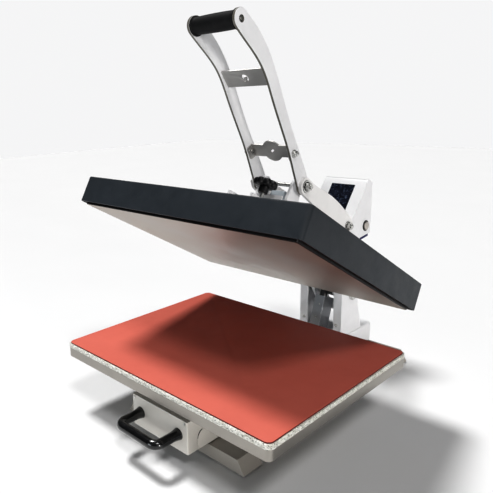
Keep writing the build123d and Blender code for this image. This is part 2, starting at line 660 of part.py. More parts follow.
# Hold-down magnet on its bracket; its face meets the lever's keeper plate when shut.
MAGNET_AT, MAGNET_TOP, MAGNET_SIZE, MAGNET_LEAN = 272.4, 145.5, 32, 9.5
with BuildPart() as magnet_bracket:
    with BuildSketch(tilted_side(-ARM_IN - 4)):
        Polygon((238, ARM_HIGH), (238, 132), (241, 132), (241, ARM_HIGH + 3), (297, ARM_HIGH + 3),
                (297, 126), (300, 126), (300, ARM_HIGH), align=None)
    extrude(amount=2 * (ARM_IN + 4))
    with BuildSketch(tilted_level(ARM_HIGH + 10)):
        with Locations((0, 299)):
            Rectangle(20, 8)
    extrude(amount=10, mode=Mode.SUBTRACT)
magnet_bracket.part.label = "magnet_bracket"
export_step(magnet_bracket.part, "parts/magnet_bracket.step")

magnet_face = Plane(origin=tilted_side(0).from_local_coords((MAGNET_AT, MAGNET_TOP, 0)), x_dir=(1, 0, 0),
                    z_dir=(0, sin(radians(TILT + MAGNET_LEAN)), cos(radians(TILT + MAGNET_LEAN))))
socket_at = tilted_side(0).from_local_coords((MAGNET_AT, 120, 0))
with BuildPart() as electromagnet:
    with BuildSketch(magnet_face):
        RectangleRounded(34, MAGNET_SIZE, 2)
    extrude(amount=-60)
    with BuildSketch(tilted_level(ARM_HIGH + 3)):
        with Locations((0, MAGNET_AT)):
            Rectangle(200, 200)
    extrude(amount=-100, mode=Mode.SUBTRACT)
    with BuildSketch(Plane.YZ.offset(20)):
        with Locations((socket_at.Y, socket_at.Z)):
            Rectangle(11, 11)
    extrude(amount=-8, mode=Mode.SUBTRACT)
electromagnet.part.label = "electromagnet"
export_step(electromagnet.part, "parts/electromagnet.step")

# ================================================================ upper platen
with BuildPart() as platen_cover:
    with BuildSketch(tilted_level(0)):
        with Locations((0, COVER_DEPTH / 2)):
            RectangleRounded(COVER_WIDTH, COVER_DEPTH, COVER_CORNER_R)
    extrude(amount=COVER_HEIGHT)
    fillet(platen_cover.faces().sort_by(TILTED_UP)[-1].edges(), 2.5)
    with BuildSketch(tilted_level(0)):
        with Locations((0, COVER_DEPTH / 2)):
            RectangleRounded(COVER_WIDTH - 2 * COVER_WALL, COVER_DEPTH - 2 * COVER_WALL,
                             COVER_CORNER_R - COVER_WALL)
    extrude(amount=COVER_HEIGHT - COVER_WALL, mode=Mode.SUBTRACT)
    with BuildSketch(tilted_level(COVER_HEIGHT - 10)):
        with Locations((0, SPINDLE_AT)):
            Circle(6.5)
    extrude(amount=20, mode=Mode.SUBTRACT)
platen_cover.part.label = "platen_cover"
export_step(platen_cover.part, "parts/platen_cover.step")

with BuildPart() as heating_plate:
    with BuildSketch(tilted_level(-HOT_PROUD)):
        with Locations((0, COVER_DEPTH / 2)):
            RectangleRounded(HOT_WIDTH, HOT_DEPTH, 6)
    extrude(amount=HOT_T)
    chamfer(heating_plate.faces().sort_by(TILTED_UP)[0].edges(), 1)
heating_plate.part.label = "heating_plate"
export_step(heating_plate.part, "parts/heating_plate.step")

HOT_TOP = HOT_T - HOT_PROUD
INNER_TOP = COVER_HEIGHT - COVER_WALL
with BuildPart() as insulation_blanket:
    with BuildSketch(tilted_level(HOT_TOP + 0.2)):
        with Locations((0, COVER_DEPTH / 2)):
            RectangleRounded(490, 392, 6)
        with Locations((0, SPINDLE_AT)):
            Rectangle(64, 64, mode=Mode.SUBTRACT)
    extrude(amount=26)
insulation_blanket.part.label = "insulation_blanket"
export_step(insulation_blanket.part, "parts/insulation_blanket.step")

with BuildPart() as seam_gasket:
    with BuildSketch(tilted_level(1)):
        with Locations((0, COVER_DEPTH / 2)):
            RectangleRounded(COVER_WIDTH - 2 * COVER_WALL - 0.2, COVER_DEPTH - 2 * COVER_WALL - 0.2,
                             COVER_CORNER_R - COVER_WALL - 0.1)
            RectangleRounded(HOT_WIDTH + 0.4, HOT_DEPTH + 0.4, 6.2, mode=Mode.SUBTRACT)
    extrude(amount=5)
seam_gasket.part.label = "seam_gasket"
export_step(seam_gasket.part, "parts/seam_gasket.step")

# Threaded block that the pressure spindle turns in; it ties the hot plate to the cover's top.
with BuildPart() as pressure_block:
    with BuildSketch(tilted_level(HOT_TOP + 0.1)):
        with Locations((0, SPINDLE_AT)):
            Rectangle(60, 60)
            Circle(4.6 + RUNNING, mode=Mode.SUBTRACT)
    extrude(amount=INNER_TOP - HOT_TOP - 0.1)
pressure_block.part.label = "pressure_block"
export_step(pressure_block.part, "parts/pressure_block.step")

with BuildPart() as guide_posts:
    with BuildSketch(tilted_level(COVER_HEIGHT)):
        with Locations(*GUIDE_PLACES):
            Circle(11)
    extrude(amount=2.5)
    with BuildSketch(tilted_level(COVER_HEIGHT)):
        with Locations(*GUIDE_PLACES):
            Circle(6)
    extrude(amount=26)
    post_tops = guide_posts.faces().group_by(TILTED_UP)[-1]
    chamfer(post_tops.edges(), 1)
guide_posts.part.label = "guide_posts"
export_step(guide_posts.part, "parts/guide_posts.step")

# ================================================================ pressure knob
KNOB_LOW, KNOB_HIGH, KNOB_R, HUB_LOW, HUB_R = 137, 151, 23.5, 124, 9.5
with BuildPart() as pressure_knob:
    with BuildSketch(tilted_level(KNOB_LOW)):
        with Locations((0, SPINDLE_AT)):
            Circle(KNOB_R)
        with Locations(Location((0, SPINDLE_AT))):
            with PolarLocations(KNOB_R + 1.5, 8):
                Circle(5, mode=Mode.SUBTRACT)
    extrude(amount=KNOB_HIGH - KNOB_LOW)
    fillet(pressure_knob.faces().sort_by(TILTED_UP)[-1].edges(), 2)
    with BuildSketch(tilted_level(HUB_LOW)):
        with Locations((0, SPINDLE_AT)):
            Circle(HUB_R)
    extrude(amount=KNOB_LOW - HUB_LOW)
    with BuildSketch(tilted_level(HUB_LOW)):
        with Locations((0, SPINDLE_AT)):
            Circle(4.05)
    extrude(amount=18, mode=Mode.SUBTRACT)
pressure_knob.part.label = "pressure_knob"
export_step(pressure_knob.part, "parts/pressure_knob.step")

# Stepped spindle: stud under the knob, two collars that trap it in the carrier, and a thread.
SPINDLE_STEPS = ((24, 58, 4.6), (58, 59.8, 8), (59.8, 66.2, 5), (66.2, 71, 10), (71, 141, 4))
with BuildPart() as pressure_spindle:
    for low, high, radius in SPINDLE_STEPS:
        with BuildSketch(tilted_level(low)):
            with Locations((0, SPINDLE_AT)):
                Circle(radius)
        extrude(amount=high - low)
pressure_spindle.part.label = "pressure_spindle"
export_step(pressure_spindle.part, "parts/pressure_spindle.step")

# ================================================================ lever
GRIP_AT = (-120.7, 726)
GRIP_END_R = 17.5
KEEPER_AT = (31.5, 503)
UPPER_CROSS_AT = (-48.5, 638)
CRANK_TOP_R, CRANK_PIVOT_R, CRANK_SAG = 17, 20, 20
# Upper edge of a crank: (distance from the link's pivot, height over the line between its pivots).
CRANK_BACK = ((33, 17), (60, 21.3), (88, 24.6), (118, 25.7), (151, 24))

FRONT_EDGE = ((-132.9, 713.5), (-66.5, 652), (-36, 596), (11, 505), (42.5, 430))
BACK_EDGE = ((73.5, 444), (35.5, 514.5), (-0.5, 584), (-38, 661), (-83.5, 718), (-108, 738))


# Side view of a lever plate, from the grip down to the link's pivot.
with BuildSketch() as lever_profile:
    with BuildLine():
        Spline(*FRONT_EDGE, tangents=((0.72, -0.69), (0.42, -0.91)))
        Line(FRONT_EDGE[-1], BACK_EDGE[0])
        Spline(*BACK_EDGE, tangents=((-0.42, 0.91), (-0.72, 0.69)))
        Line(BACK_EDGE[-1], FRONT_EDGE[0])
    make_face()
    with Locations(GRIP_AT):
        Circle(GRIP_END_R)
    with Locations(LINK_TOP):
        Circle(CRANK_TOP_R)
    with Locations(GRIP_AT):
        Circle(6, mode=Mode.SUBTRACT)
    with Locations(LINK_TOP):
        Circle(4, mode=Mode.SUBTRACT)

for lever_name, start in zip(("lever_plate_left", "lever_plate_right"), starts(LEVER_IN, LEVER_T)):
    with BuildPart() as lever_plate:
        with BuildSketch(side(start)):
            add(lever_profile.sketch)
        extrude(amount=LEVER_T)
    lever_plate.part.label = lever_name
    export_step(lever_plate.part, f"parts/{lever_name}.step")

crank_y, crank_z = LEVER_PIVOT[0] - LINK_TOP[0], LEVER_PIVOT[1] - LINK_TOP[1]
CRANK_LENGTH = (crank_y**2 + crank_z**2) ** 0.5


def on_crank(along, height):
    """A point given by its distance from the link's pivot and its height over the crank's line."""
    return (LINK_TOP[0] + (along * crank_y - height * crank_z) / CRANK_LENGTH,
            LINK_TOP[1] + (along * crank_z + height * crank_y) / CRANK_LENGTH)


with BuildPart() as crank_plates:
    for start in starts(LEVER_IN + LEVER_T, CRANK_T):
        with BuildSketch(side(start)):
            with Locations(LINK_TOP):
                Circle(CRANK_TOP_R)
            with Locations(LEVER_PIVOT):
                Circle(CRANK_PIVOT_R)
            with BuildLine():
                Spline(on_crank(0, CRANK_TOP_R), *[on_crank(*place) for place in CRANK_BACK],
                       on_crank(CRANK_LENGTH, CRANK_PIVOT_R))
                Line(on_crank(CRANK_LENGTH, CRANK_PIVOT_R), on_crank(CRANK_LENGTH, -CRANK_PIVOT_R))
                ThreePointArc(on_crank(CRANK_LENGTH, -CRANK_PIVOT_R),
                              on_crank(CRANK_LENGTH / 2, -CRANK_SAG), on_crank(0, -CRANK_TOP_R))
                Line(on_crank(0, -CRANK_TOP_R), on_crank(0, CRANK_TOP_R))
            make_face()
            with Locations(LINK_TOP):
                Circle(4, mode=Mode.SUBTRACT)
            with Locations(LEVER_PIVOT):
                Circle(5 + RUNNING, mode=Mode.SUBTRACT)
        extrude(amount=CRANK_T)
    # The pivot end stands clear of the stand's ear.
    for sign in (-1, 1):
        with BuildSketch(side(sign * (LEVER_IN + LEVER_T))):
            with Locations(LEVER_PIVOT):
                Circle(60)
        extrude(amount=sign * CRANK_RELIEF, mode=Mode.SUBTRACT)
crank_plates.part.label = "crank_plates"
export_step(crank_plates.part, "parts/crank_plates.step")

# Waisted rubber grip with a raised collar at each end.
with BuildPart() as lever_grip:
    with BuildSketch(Plane.XY):
        with BuildLine():
            Polyline((-LEVER_IN, 5.1), (-LEVER_IN, 17.5), (-45.5, 17.5), (-44, 14.6))
            ThreePointArc((-44, 14.6), (0, 15.6), (44, 14.6))
            Polyline((44, 14.6), (45.5, 17.5), (LEVER_IN, 17.5), (LEVER_IN, 5.1), (-LEVER_IN, 5.1))
        make_face()
    revolve(axis=Axis.X)
lever_grip.part.label = "lever_grip"
grip_solid = lever_grip.part.moved(Location((0, *GRIP_AT)))
grip_solid.label = "lever_grip"
export_step(grip_solid, "parts/lever_grip.step")

with BuildPart() as grip_bolt:
    with BuildSketch(side(-LEVER_IN)):
        with Locations(GRIP_AT):
            Circle(5)
    extrude(amount=2 * LEVER_IN)
    for sign in (-1, 1):
        with BuildSketch(side(sign * LEVER_IN)):
            with Locations(GRIP_AT):
                Circle(5.8)
                RegularPolygon(3, 6, mode=Mode.SUBTRACT)
        extrude(amount=sign * 3.5)
grip_bolt.part.label = "grip_bolt"
export_step(grip_bolt.part, "parts/grip_bolt.step")

CROSS_ANGLE, KEEPER_ANGLE = -54.5, -61.9
CROSS_T = 3


def across(centre, angle):
    """Plane of a strip between the lever plates; its y runs down along the lever."""
    a = radians(angle)
    return Plane(origin=(0, *centre), x_dir=(1, 0, 0), z_dir=(0, sin(a), -cos(a)))


# Plain strip with a round tab lanced in its middle, held at its upper edge.
CROSS_WIDTH = 34
TAB_HOLE_R, TAB_R, TAB_NECK_W = 7.5, 3.6, 3.4
with BuildPart() as upper_cross_plate:
    with BuildSketch(across(UPPER_CROSS_AT, CROSS_ANGLE).offset(-CROSS_T / 2)):
        Rectangle(2 * LEVER_IN, CROSS_WIDTH)
        Circle(TAB_HOLE_R, mode=Mode.SUBTRACT)
        with Locations((0, -1)):
            Circle(TAB_R)
        with Locations((0, -TAB_HOLE_R / 2 - 2)):
            Rectangle(TAB_NECK_W, TAB_HOLE_R)
    extrude(amount=CROSS_T)
upper_cross_plate.part.label = "upper_cross_plate"
export_step(upper_cross_plate.part, "parts/upper_cross_plate.step")

# Keeper: a strip with a round middle, and end flanges with an adjusting slot each.
keeper_plane = across(KEEPER_AT, KEEPER_ANGLE)
FLANGE_REACH, FLANGE_SLOT = 15, 12.3
BOLT_REACH = 7
with BuildPart() as keeper_plate:
    with BuildSketch(keeper_plane.offset(-CROSS_T / 2)):
        Rectangle(2 * LEVER_IN, 26)
        Circle(22.5)
        SlotOverall(11, 4, rotation=35, mode=Mode.SUBTRACT)
    extrude(amount=CROSS_T)
    for sign in (-1, 1):
        flange = Plane(origin=keeper_plane.from_local_coords((sign * LEVER_IN, 0, 0)),
                       x_dir=keeper_plane.z_dir, z_dir=(-sign, 0, 0))
        with BuildSketch(flange):
            with Locations((FLANGE_REACH / 2, 0)):
                RectangleRounded(FLANGE_REACH + 2, 26, 4)
            with Locations((FLANGE_SLOT, 0)):
                SlotOverall(16, 3.4, rotation=80, mode=Mode.SUBTRACT)
            with Locations((BOLT_REACH, 0)):
                Circle(3.1, mode=Mode.SUBTRACT)
        extrude(amount=CROSS_T)
keeper_plate.part.label = "keeper_plate"
export_step(keeper_plate.part, "parts/keeper_plate.step")

# Bolts of the keeper, and the washers and nuts on the link shaft's ends.
keeper_bolt_at = keeper_plane.from_local_coords((0, 0, BOLT_REACH))
with BuildPart() as lever_fasteners:
    for sign in (-1, 1):
        for near, far, radius, sides in ((54, 55.2, 8, 0), (55.2, 60, 6, 6), (60, 63, 3, 0)):
            with BuildSketch(side(sign * near)):
                with Locations((keeper_bolt_at.Y, keeper_bolt_at.Z)):
                    if sides:
                        RegularPolygon(radius, sides)
                    else:
                        Circle(radius)
            extrude(amount=sign * (far - near))
        with BuildSketch(side(sign * (LEVER_IN - CROSS_T))):
            with Locations((keeper_bolt_at.Y, keeper_bolt_at.Z)):
                RegularPolygon(5, 6)
        extrude(amount=-sign * 3.5)
        with BuildSketch(side(sign * 61)):
            with Locations(LINK_TOP):
                Circle(12)
                Circle(4, mode=Mode.SUBTRACT)
        extrude(amount=sign * 1.8)
        with BuildSketch(side(sign * 62.8)):
            with Locations(LINK_TOP):
                RegularPolygon(8.5, 6)
                Circle(4, mode=Mode.SUBTRACT)
        extrude(amount=sign * 6.5)
lever_fasteners.part.label = "lever_fasteners"
export_step(lever_fasteners.part, "parts/lever_fasteners.step")

with BuildPart() as link_shaft:
    with BuildSketch(side(-73)):
        with Locations(LINK_TOP):
            Circle(4)
    extrude(amount=146)
link_shaft.part.label = "link_shaft"
export_step(link_shaft.part, "parts/link_shaft.step")

# ================================================================ links
link_foot_at = tilted_side(0).from_local_coords((*LINK_FOOT, 0))
LINK_TOP_R, LINK_FOOT_R = 14, 13
LINK_NOSE, LINK_NOSE_R = (39, 409), 15
with BuildPart() as connecting_links:
    for start in starts(LINK_IN, LINK_T):
        with BuildSketch(side(start)):
            with Locations(LINK_TOP):
                Circle(LINK_TOP_R)
            with Locations(LINK_NOSE):
                Circle(LINK_NOSE_R)
            with Locations((link_foot_at.Y, link_foot_at.Z)):
                Circle(LINK_FOOT_R)
            make_hull()
            with Locations(LINK_TOP):
                Circle(4 + RUNNING, mode=Mode.SUBTRACT)
            with Locations((link_foot_at.Y, link_foot_at.Z)):
                Circle(5, mode=Mode.SUBTRACT)
        extrude(amount=LINK_T)
connecting_links.part.label = "connecting_links"
export_step(connecting_links.part, "parts/connecting_links.step")

with BuildPart() as link_bolts:
    for start in starts(LINK_IN, LINK_T):
        with BuildSketch(side(start)):
            with Locations((link_foot_at.Y, link_foot_at.Z)):
                Circle(5)
        extrude(amount=LINK_T)
    for start in starts(LINK_IN + LINK_T, 5):
        with BuildSketch(side(start)):
            with Locations((link_foot_at.Y, link_foot_at.Z)):
                RegularPolygon(9, 6)
        extrude(amount=5)
link_bolts.part.label = "link_bolts"
export_step(link_bolts.part, "parts/link_bolts.step")

# ================================================================ gas strut
strut_head_at = tilted_side(0).from_local_coords((*STRUT_HEAD, 0))
strut_y, strut_z = strut_head_at.Y - STRUT_FOOT[0], strut_head_at.Z - STRUT_FOOT[1]
STRUT_LENGTH = (strut_y**2 + strut_z**2) ** 0.5
strut_dir = (0, strut_y / STRUT_LENGTH, strut_z / STRUT_LENGTH)
STRUT_EYE_R, STRUT_HEAD_CLEARANCE = 9.5, 1.8


def strut_at(distance):
    """Plane square to the strut's axis, at a distance up from its foot pin."""
    foot = Plane(origin=(0, *STRUT_FOOT), x_dir=(1, 0, 0), z_dir=strut_dir)
    return foot.offset(distance)


with BuildPart() as gas_strut_cylinder:
    with BuildSketch(strut_at(5)):
        Circle(8.5)
    extrude(amount=123)
    with BuildSketch(strut_at(46)):
        Circle(4 + RUNNING)
    extrude(amount=100, mode=Mode.SUBTRACT)
    with BuildSketch(side(-8)):
        with Locations(STRUT_FOOT):
            Circle(STRUT_EYE_R)
    extrude(amount=16)
    with BuildSketch(side(-12)):
        with Locations(STRUT_FOOT):
            Circle(4 + RUNNING)
    extrude(amount=24, mode=Mode.SUBTRACT)
gas_strut_cylinder.part.label = "gas_strut_cylinder"
export_step(gas_strut_cylinder.part, "parts/gas_strut_cylinder.step")

# Channel over the strut's cylinder, open at the rear, held by two small screws.
GUARD_HALF_W, GUARD_FRONT, GUARD_REAR, GUARD_T = 12, -12.7, 27.3, 1.5
with BuildPart() as strut_guard:
    with BuildSketch(strut_at(4)):
        with Locations((0, (GUARD_FRONT + GUARD_REAR) / 2)):
            Rectangle(2 * GUARD_HALF_W, GUARD_REAR - GUARD_FRONT)
        with Locations((0, (GUARD_FRONT + GUARD_REAR) / 2 + GUARD_T)):
            Rectangle(2 * (GUARD_HALF_W - GUARD_T), GUARD_REAR - GUARD_FRONT, mode=Mode.SUBTRACT)
    extrude(amount=70)
    with BuildSketch(strut_at(4)):
        with Locations((0, GUARD_FRONT + GUARD_T + 1.35)):
            Rectangle(2 * (GUARD_HALF_W - GUARD_T) + 0.2, 2.7)
    extrude(amount=8)
strut_guard.part.label = "strut_guard"
export_step(strut_guard.part, "parts/strut_guard.step")

with BuildPart() as gas_strut_rod:
    with BuildSketch(strut_at(72)):
        Circle(4)
    extrude(amount=STRUT_LENGTH - 72 - 7)
    with BuildSketch(side(-6)):
        with Locations((strut_head_at.Y, strut_head_at.Z)):
            Circle(STRUT_EYE_R)
    extrude(amount=12)
    with BuildSketch(side(-12)):
        with Locations((strut_head_at.Y, strut_head_at.Z)):
            Circle(4 + STRUT_HEAD_CLEARANCE)
    extrude(amount=24, mode=Mode.SUBTRACT)
gas_strut_rod.part.label = "gas_strut_rod"
export_step(gas_strut_rod.part, "parts/gas_strut_rod.step")
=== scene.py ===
"""Looks for the swing-up heat press: softened metalwork, rubber, felt and glass round the CAD frame."""
import json
import math

import bmesh
import bpy
from mathutils import Euler, Matrix, Vector, noise


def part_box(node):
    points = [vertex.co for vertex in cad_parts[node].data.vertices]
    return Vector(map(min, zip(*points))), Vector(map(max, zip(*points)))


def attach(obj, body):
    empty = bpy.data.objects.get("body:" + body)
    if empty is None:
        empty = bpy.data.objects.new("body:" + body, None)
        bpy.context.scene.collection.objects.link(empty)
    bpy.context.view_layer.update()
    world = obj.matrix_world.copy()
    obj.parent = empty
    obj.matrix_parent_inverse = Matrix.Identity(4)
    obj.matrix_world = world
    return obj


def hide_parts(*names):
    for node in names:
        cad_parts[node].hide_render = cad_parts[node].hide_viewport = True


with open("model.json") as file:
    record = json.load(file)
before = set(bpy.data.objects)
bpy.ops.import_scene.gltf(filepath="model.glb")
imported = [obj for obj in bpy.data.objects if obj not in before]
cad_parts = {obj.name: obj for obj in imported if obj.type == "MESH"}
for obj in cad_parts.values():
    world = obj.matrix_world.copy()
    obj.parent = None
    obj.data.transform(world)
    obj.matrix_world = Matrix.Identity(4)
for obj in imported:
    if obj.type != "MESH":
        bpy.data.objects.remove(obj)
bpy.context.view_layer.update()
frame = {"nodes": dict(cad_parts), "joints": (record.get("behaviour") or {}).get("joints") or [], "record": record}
record = frame["record"]
MM = 0.001

slot_of = {s["node"]: s["material_slot"] for s in record["subparts"]}
body_of = {n: b for b, nodes in record["behaviour"]["bodies"].items() for n in nodes}
joint_of = {j["name"]: j for j in frame["joints"]}


# ================================================================ materials
class Nodes:
    """A small node-tree writer for one procedural material."""

    def __init__(self, name):
        self.material = bpy.data.materials.new(name)
        self.material.use_nodes = True
        self.tree = self.material.node_tree
        self.shader = self.tree.nodes["Principled BSDF"]
        coordinates = self.tree.nodes.new("ShaderNodeTexCoord")
        self.coord, self.normal = coordinates.outputs["Object"], coordinates.outputs["Normal"]

    def add(self, kind, **settings):
        node = self.tree.nodes.new("ShaderNode" + kind)
        for key, value in settings.items():
            setattr(node, key, value)
        return node

    def link(self, out, into):
        self.tree.links.new(out, into)

    def place(self, stretch=(1, 1, 1), turn=(0, 0, 0)):
        """Object coordinates, stretched and turned."""
        mapping = self.add("Mapping")
        mapping.inputs["Scale"].default_value = stretch
        mapping.inputs["Rotation"].default_value = [math.radians(a) for a in turn]
        self.link(self.coord, mapping.inputs["Vector"])
        return mapping.outputs["Vector"]

    def noise(self, scale, detail=3, roughness=0.5, vector=None):
        node = self.add("TexNoise")
        node.inputs["Scale"].default_value = scale
        node.inputs["Detail"].default_value = detail
        node.inputs["Roughness"].default_value = roughness
        self.link(vector or self.coord, node.inputs["Vector"])
        return node.outputs["Fac"]

    def cells(self, scale):
        node = self.add("TexVoronoi")
        node.inputs["Scale"].default_value = scale
        self.link(self.coord, node.inputs["Vector"])
        return node.outputs["Distance"]

    def remap(self, value, low, high, to_low, to_high):
        node = self.add("MapRange")
        for socket, number in zip(("From Min", "From Max", "To Min", "To Max"),
                                  (low, high, to_low, to_high)):
            node.inputs[socket].default_value = number
        self.link(value, node.inputs["Value"])
        return node.outputs["Result"]

    def tint(self, fac, first, second):
        """A colour between two, by a factor; either may be a socket."""
        node = self.add("Mix", data_type="RGBA")
        self.link(fac, node.inputs["Factor"])
        for socket, colour in ((node.inputs[6], first), (node.inputs[7], second)):
            if isinstance(colour, bpy.types.NodeSocket):
                self.link(colour, socket)
            else:
                socket.default_value = (*colour, 1)
        return node.outputs[2]

    def facing(self, direction, low, high):
        """1 where the surface faces along or against a direction, 0 where it is square to it."""
        dot = self.add("VectorMath", operation="DOT_PRODUCT")
        self.link(self.normal, dot.inputs[0])
        dot.inputs[1].default_value = direction
        size = self.add("Math", operation="ABSOLUTE")
        self.link(dot.outputs["Value"], size.inputs[0])
        return self.remap(size.outputs[0], low, high, 0, 1)

    def total(self, *parts):
        """Sum of (value, weight) pairs."""
        result = None
        for value, weight in parts:
            scaled = self.add("Math", operation="MULTIPLY")
            self.link(value, scaled.inputs[0])
            scaled.inputs[1].default_value = weight
            if result is None:
                result = scaled.outputs[0]
                continue
            joined = self.add("Math", operation="ADD")
            self.link(result, joined.inputs[0])
            self.link(scaled.outputs[0], joined.inputs[1])
            result = joined.outputs[0]
        return result

    def bump(self, height, distance):
        node = self.add("Bump")
        node.inputs["Distance"].default_value = distance
        self.link(height, node.inputs["Height"])
        self.link(node.outputs["Normal"], self.shader.inputs["Normal"])

    def set(self, **values):
        """Uniform values on the shader's own sockets, as Coat_Weight=0.1."""
        for key, value in values.items():
            self.shader.inputs[key.replace("_", " ")].default_value = value

    def finish(self, colour, rough):
        """Links the colour and the roughness and returns the material."""
        for source, socket in ((colour, "Base Color"), (rough, "Roughness")):
            self.link(source, self.shader.inputs[socket])
        return self.material


def shade(colour, factor):
    """A lighter or darker copy of a colour."""
    return tuple(min(1.0, c * factor) for c in colour)


def powder_coat(name, colour, rough=0.42, peel=0.00006, spread=0.05, edge=None, shine=0.5):
    """Baked paint: orange peel, faint cloudiness and handling smudges.

    peel is the bumps' height in metres, spread how far the colour varies, and edge the dark colour
    of a sheet's cut edges, away from its broad faces that look along x, painted there as shade."""
    n = Nodes(name)
    clouds = n.noise(9, 4, 0.6)
    smudge = n.noise(38, 5, 0.7)
    colour_out = n.tint(n.remap(n.total((clouds, 0.7), (smudge, 0.3)), 0.35, 0.65, 0, 1),
                        shade(colour, 1 - spread), shade(colour, 1 + spread))
    # Painted shade: the cut edges, whose faces don't look along x, take the dark edge colour.
    if edge:
        colour_out = n.tint(n.facing((1, 0, 0), 0.55, 0.85), edge, colour_out)
    n.set(Coat_Weight=0.24 * shine, Coat_Roughness=0.25, Specular_IOR_Level=shine)
    n.bump(n.total((n.noise(900, 2), 1.0), (n.noise(260, 2), 0.8)), peel)
    return n.finish(colour_out, n.remap(smudge, 0.3, 0.7, rough - 0.06, rough + 0.08))


def bare_metal(name, colour, rough=0.32, grain=(1, 60, 60), turn=(0, 0, 0), depth=0.00002, spread=0.1,
               blotch=14, face=None, metallic=1.0):
    """Metal with a brushed or rolled grain along one axis, light blotches and fine scratches.

    grain squeezes the pattern along each axis after a turn in degrees, depth is the scratches' in
    metres, blotch the scale of the clouds, and face the direction of its broad faces; the rim, square
    to them, is coloured near black."""
    n = Nodes(name)
    along = n.place(grain, turn)
    brushed = n.noise(42, 5, 0.65, along)
    clouds = n.noise(blotch, 5, 0.6)
    colour_out = n.tint(n.remap(n.total((brushed, 0.35), (clouds, 0.65)), 0.35, 0.65, 0, 1),
                        shade(colour, 1 - spread), shade(colour, 1 + spread))
    if face:
        colour_out = n.tint(n.facing(face, 0.9, 0.97), (0.012, 0.011, 0.011), colour_out)
    n.set(Metallic=metallic)
    n.bump(n.total((brushed, 1.0), (n.noise(1500, 2), 0.5)), depth)
    return n.finish(colour_out, n.remap(n.total((brushed, 0.4), (clouds, 0.6)), 0.3, 0.7,
                                        rough - 0.08, rough + 0.12))


def moulded(name, colour, rough, grain=1600, depth=0.00003, coat=0.0, shine=0.5):
    """Moulded plastic or rubber with a fine grain and dusty variation."""
    n = Nodes(name)
    dust = n.noise(55, 5, 0.7)
    dusty = tuple(c * 1.6 + 0.006 for c in colour)
    colour_out = n.tint(n.remap(dust, 0.4, 0.75, 0, 1), colour, dusty)
    n.set(Coat_Weight=coat, Coat_Roughness=0.06, Specular_IOR_Level=shine)
    n.bump(n.total((n.noise(grain, 2), 1.0), (n.noise(grain / 6, 2), 0.4)), depth)
    return n.finish(colour_out, n.remap(dust, 0.3, 0.7, rough - 0.05, rough + 0.1))


def silicone(name):
    """Red silicone sheet: matt, faintly mottled, with a trace of lint, and its sides painted dark red as painted
    shade.
    """
    n = Nodes(name)
    clouds = n.noise(7, 5, 0.6)
    lint = n.remap(n.cells(230), 0.0, 0.035, 1, 0)
    base = n.tint(n.remap(clouds, 0.3, 0.7, 0, 1), (0.58, 0.140, 0.102), (0.65, 0.166, 0.122))
    top = n.tint(n.remap(lint, 0, 1, 0, 0.16), base, (0.9, 0.5, 0.42))
    # Painted shade: the sides, away from the upward faces, are near black red.
    colour_out = n.tint(n.facing((0, 0, 1), 0.5, 0.9), (0.10, 0.012, 0.014), top)
    n.set(Specular_IOR_Level=0.18, Sheen_Weight=0.02, Sheen_Roughness=0.5)
    n.bump(n.total((n.noise(1300, 3), 1.0), (n.noise(160, 3), 0.8)), 0.00004)
    return n.finish(colour_out, n.remap(n.noise(30, 4), 0.3, 0.7, 0.50, 0.62))


def felt(name):
    """Pressed white felt, flecked with dark and ochre recycled fibres."""
    n = Nodes(name)
    warp = n.place((1, 1, 1.6))
    fleck = n.remap(n.noise(330, 4, 0.72, warp), 0.53, 0.60, 0, 1)
    ochre = n.remap(n.noise(210, 3, 0.6, warp), 0.55, 0.68, 0, 0.75)
    body = n.tint(n.remap(n.noise(120, 5, 0.7), 0.35, 0.65, 0, 1), (0.56, 0.55, 0.49),
                  (0.90, 0.89, 0.84))
    warm = n.tint(ochre, body, (0.46, 0.42, 0.30))
    colour_out = n.tint(n.remap(fleck, 0, 1, 0, 0.85), warm, (0.12, 0.12, 0.10))
    n.set(Sheen_Weight=0.35, Sheen_Roughness=0.6, Specular_IOR_Level=0.15)
    n.bump(n.total((n.noise(420, 5, 0.7, warp), 1.0), (n.noise(1500, 3), 0.5)), 0.0006)
    return n.finish(colour_out, n.remap(n.noise(200, 3), 0.3, 0.7, 0.85, 0.98))


def wool(name):
    """Needled yellow-brown insulating blanket."""
    n = Nodes(name)
    fibre = n.noise(300, 6, 0.75, n.place((1, 1, 4)))
    colour_out = n.tint(n.remap(fibre, 0.3, 0.7, 0, 1), (0.55, 0.46, 0.24), (0.80, 0.73, 0.50))
    n.set(Sheen_Weight=0.3, Sheen_Roughness=0.7)
    n.bump(fibre, 0.0008)
    return n.finish(colour_out, n.remap(fibre, 0.3, 0.7, 0.85, 1.0))


def dark_glass(name):
    """Display glass: near black, with finger marks and a faint blue sheen painted in patches as painted
    reflection.
    """
    n = Nodes(name)
    marks = n.noise(60, 4, 0.65)
    # Painted reflection: lighter blue patches mixed into the colour.
    painted_sheen = n.remap(n.noise(130, 3, 0.6, n.place((1, 1, 1), (38, 0, 0))), 0.56, 0.74, 0, 0.8)
    base = n.tint(n.remap(marks, 0.35, 0.7, 0, 1), (0.003, 0.004, 0.009), (0.008, 0.011, 0.026))
    colour_out = n.tint(painted_sheen, base, (0.10, 0.13, 0.20))
    n.set(Coat_Weight=0.25, Coat_Roughness=0.03, IOR=1.35)
    n.bump(n.noise(220, 2), 0.000008)
    return n.finish(colour_out, n.remap(marks, 0.3, 0.7, 0.08, 0.24))


def circuit(name):
    """Green solder mask with a faint track pattern."""
    n = Nodes(name)
    tracks = n.remap(n.cells(160), 0.1, 0.5, 0, 1)
    colour_out = n.tint(tracks, (0.10, 0.30, 0.12), (0.02, 0.13, 0.06))
    n.bump(tracks, 0.00005)
    return n.finish(colour_out, n.remap(tracks, 0, 1, 0.3, 0.45))


WHITE = (0.82, 0.82, 0.83)
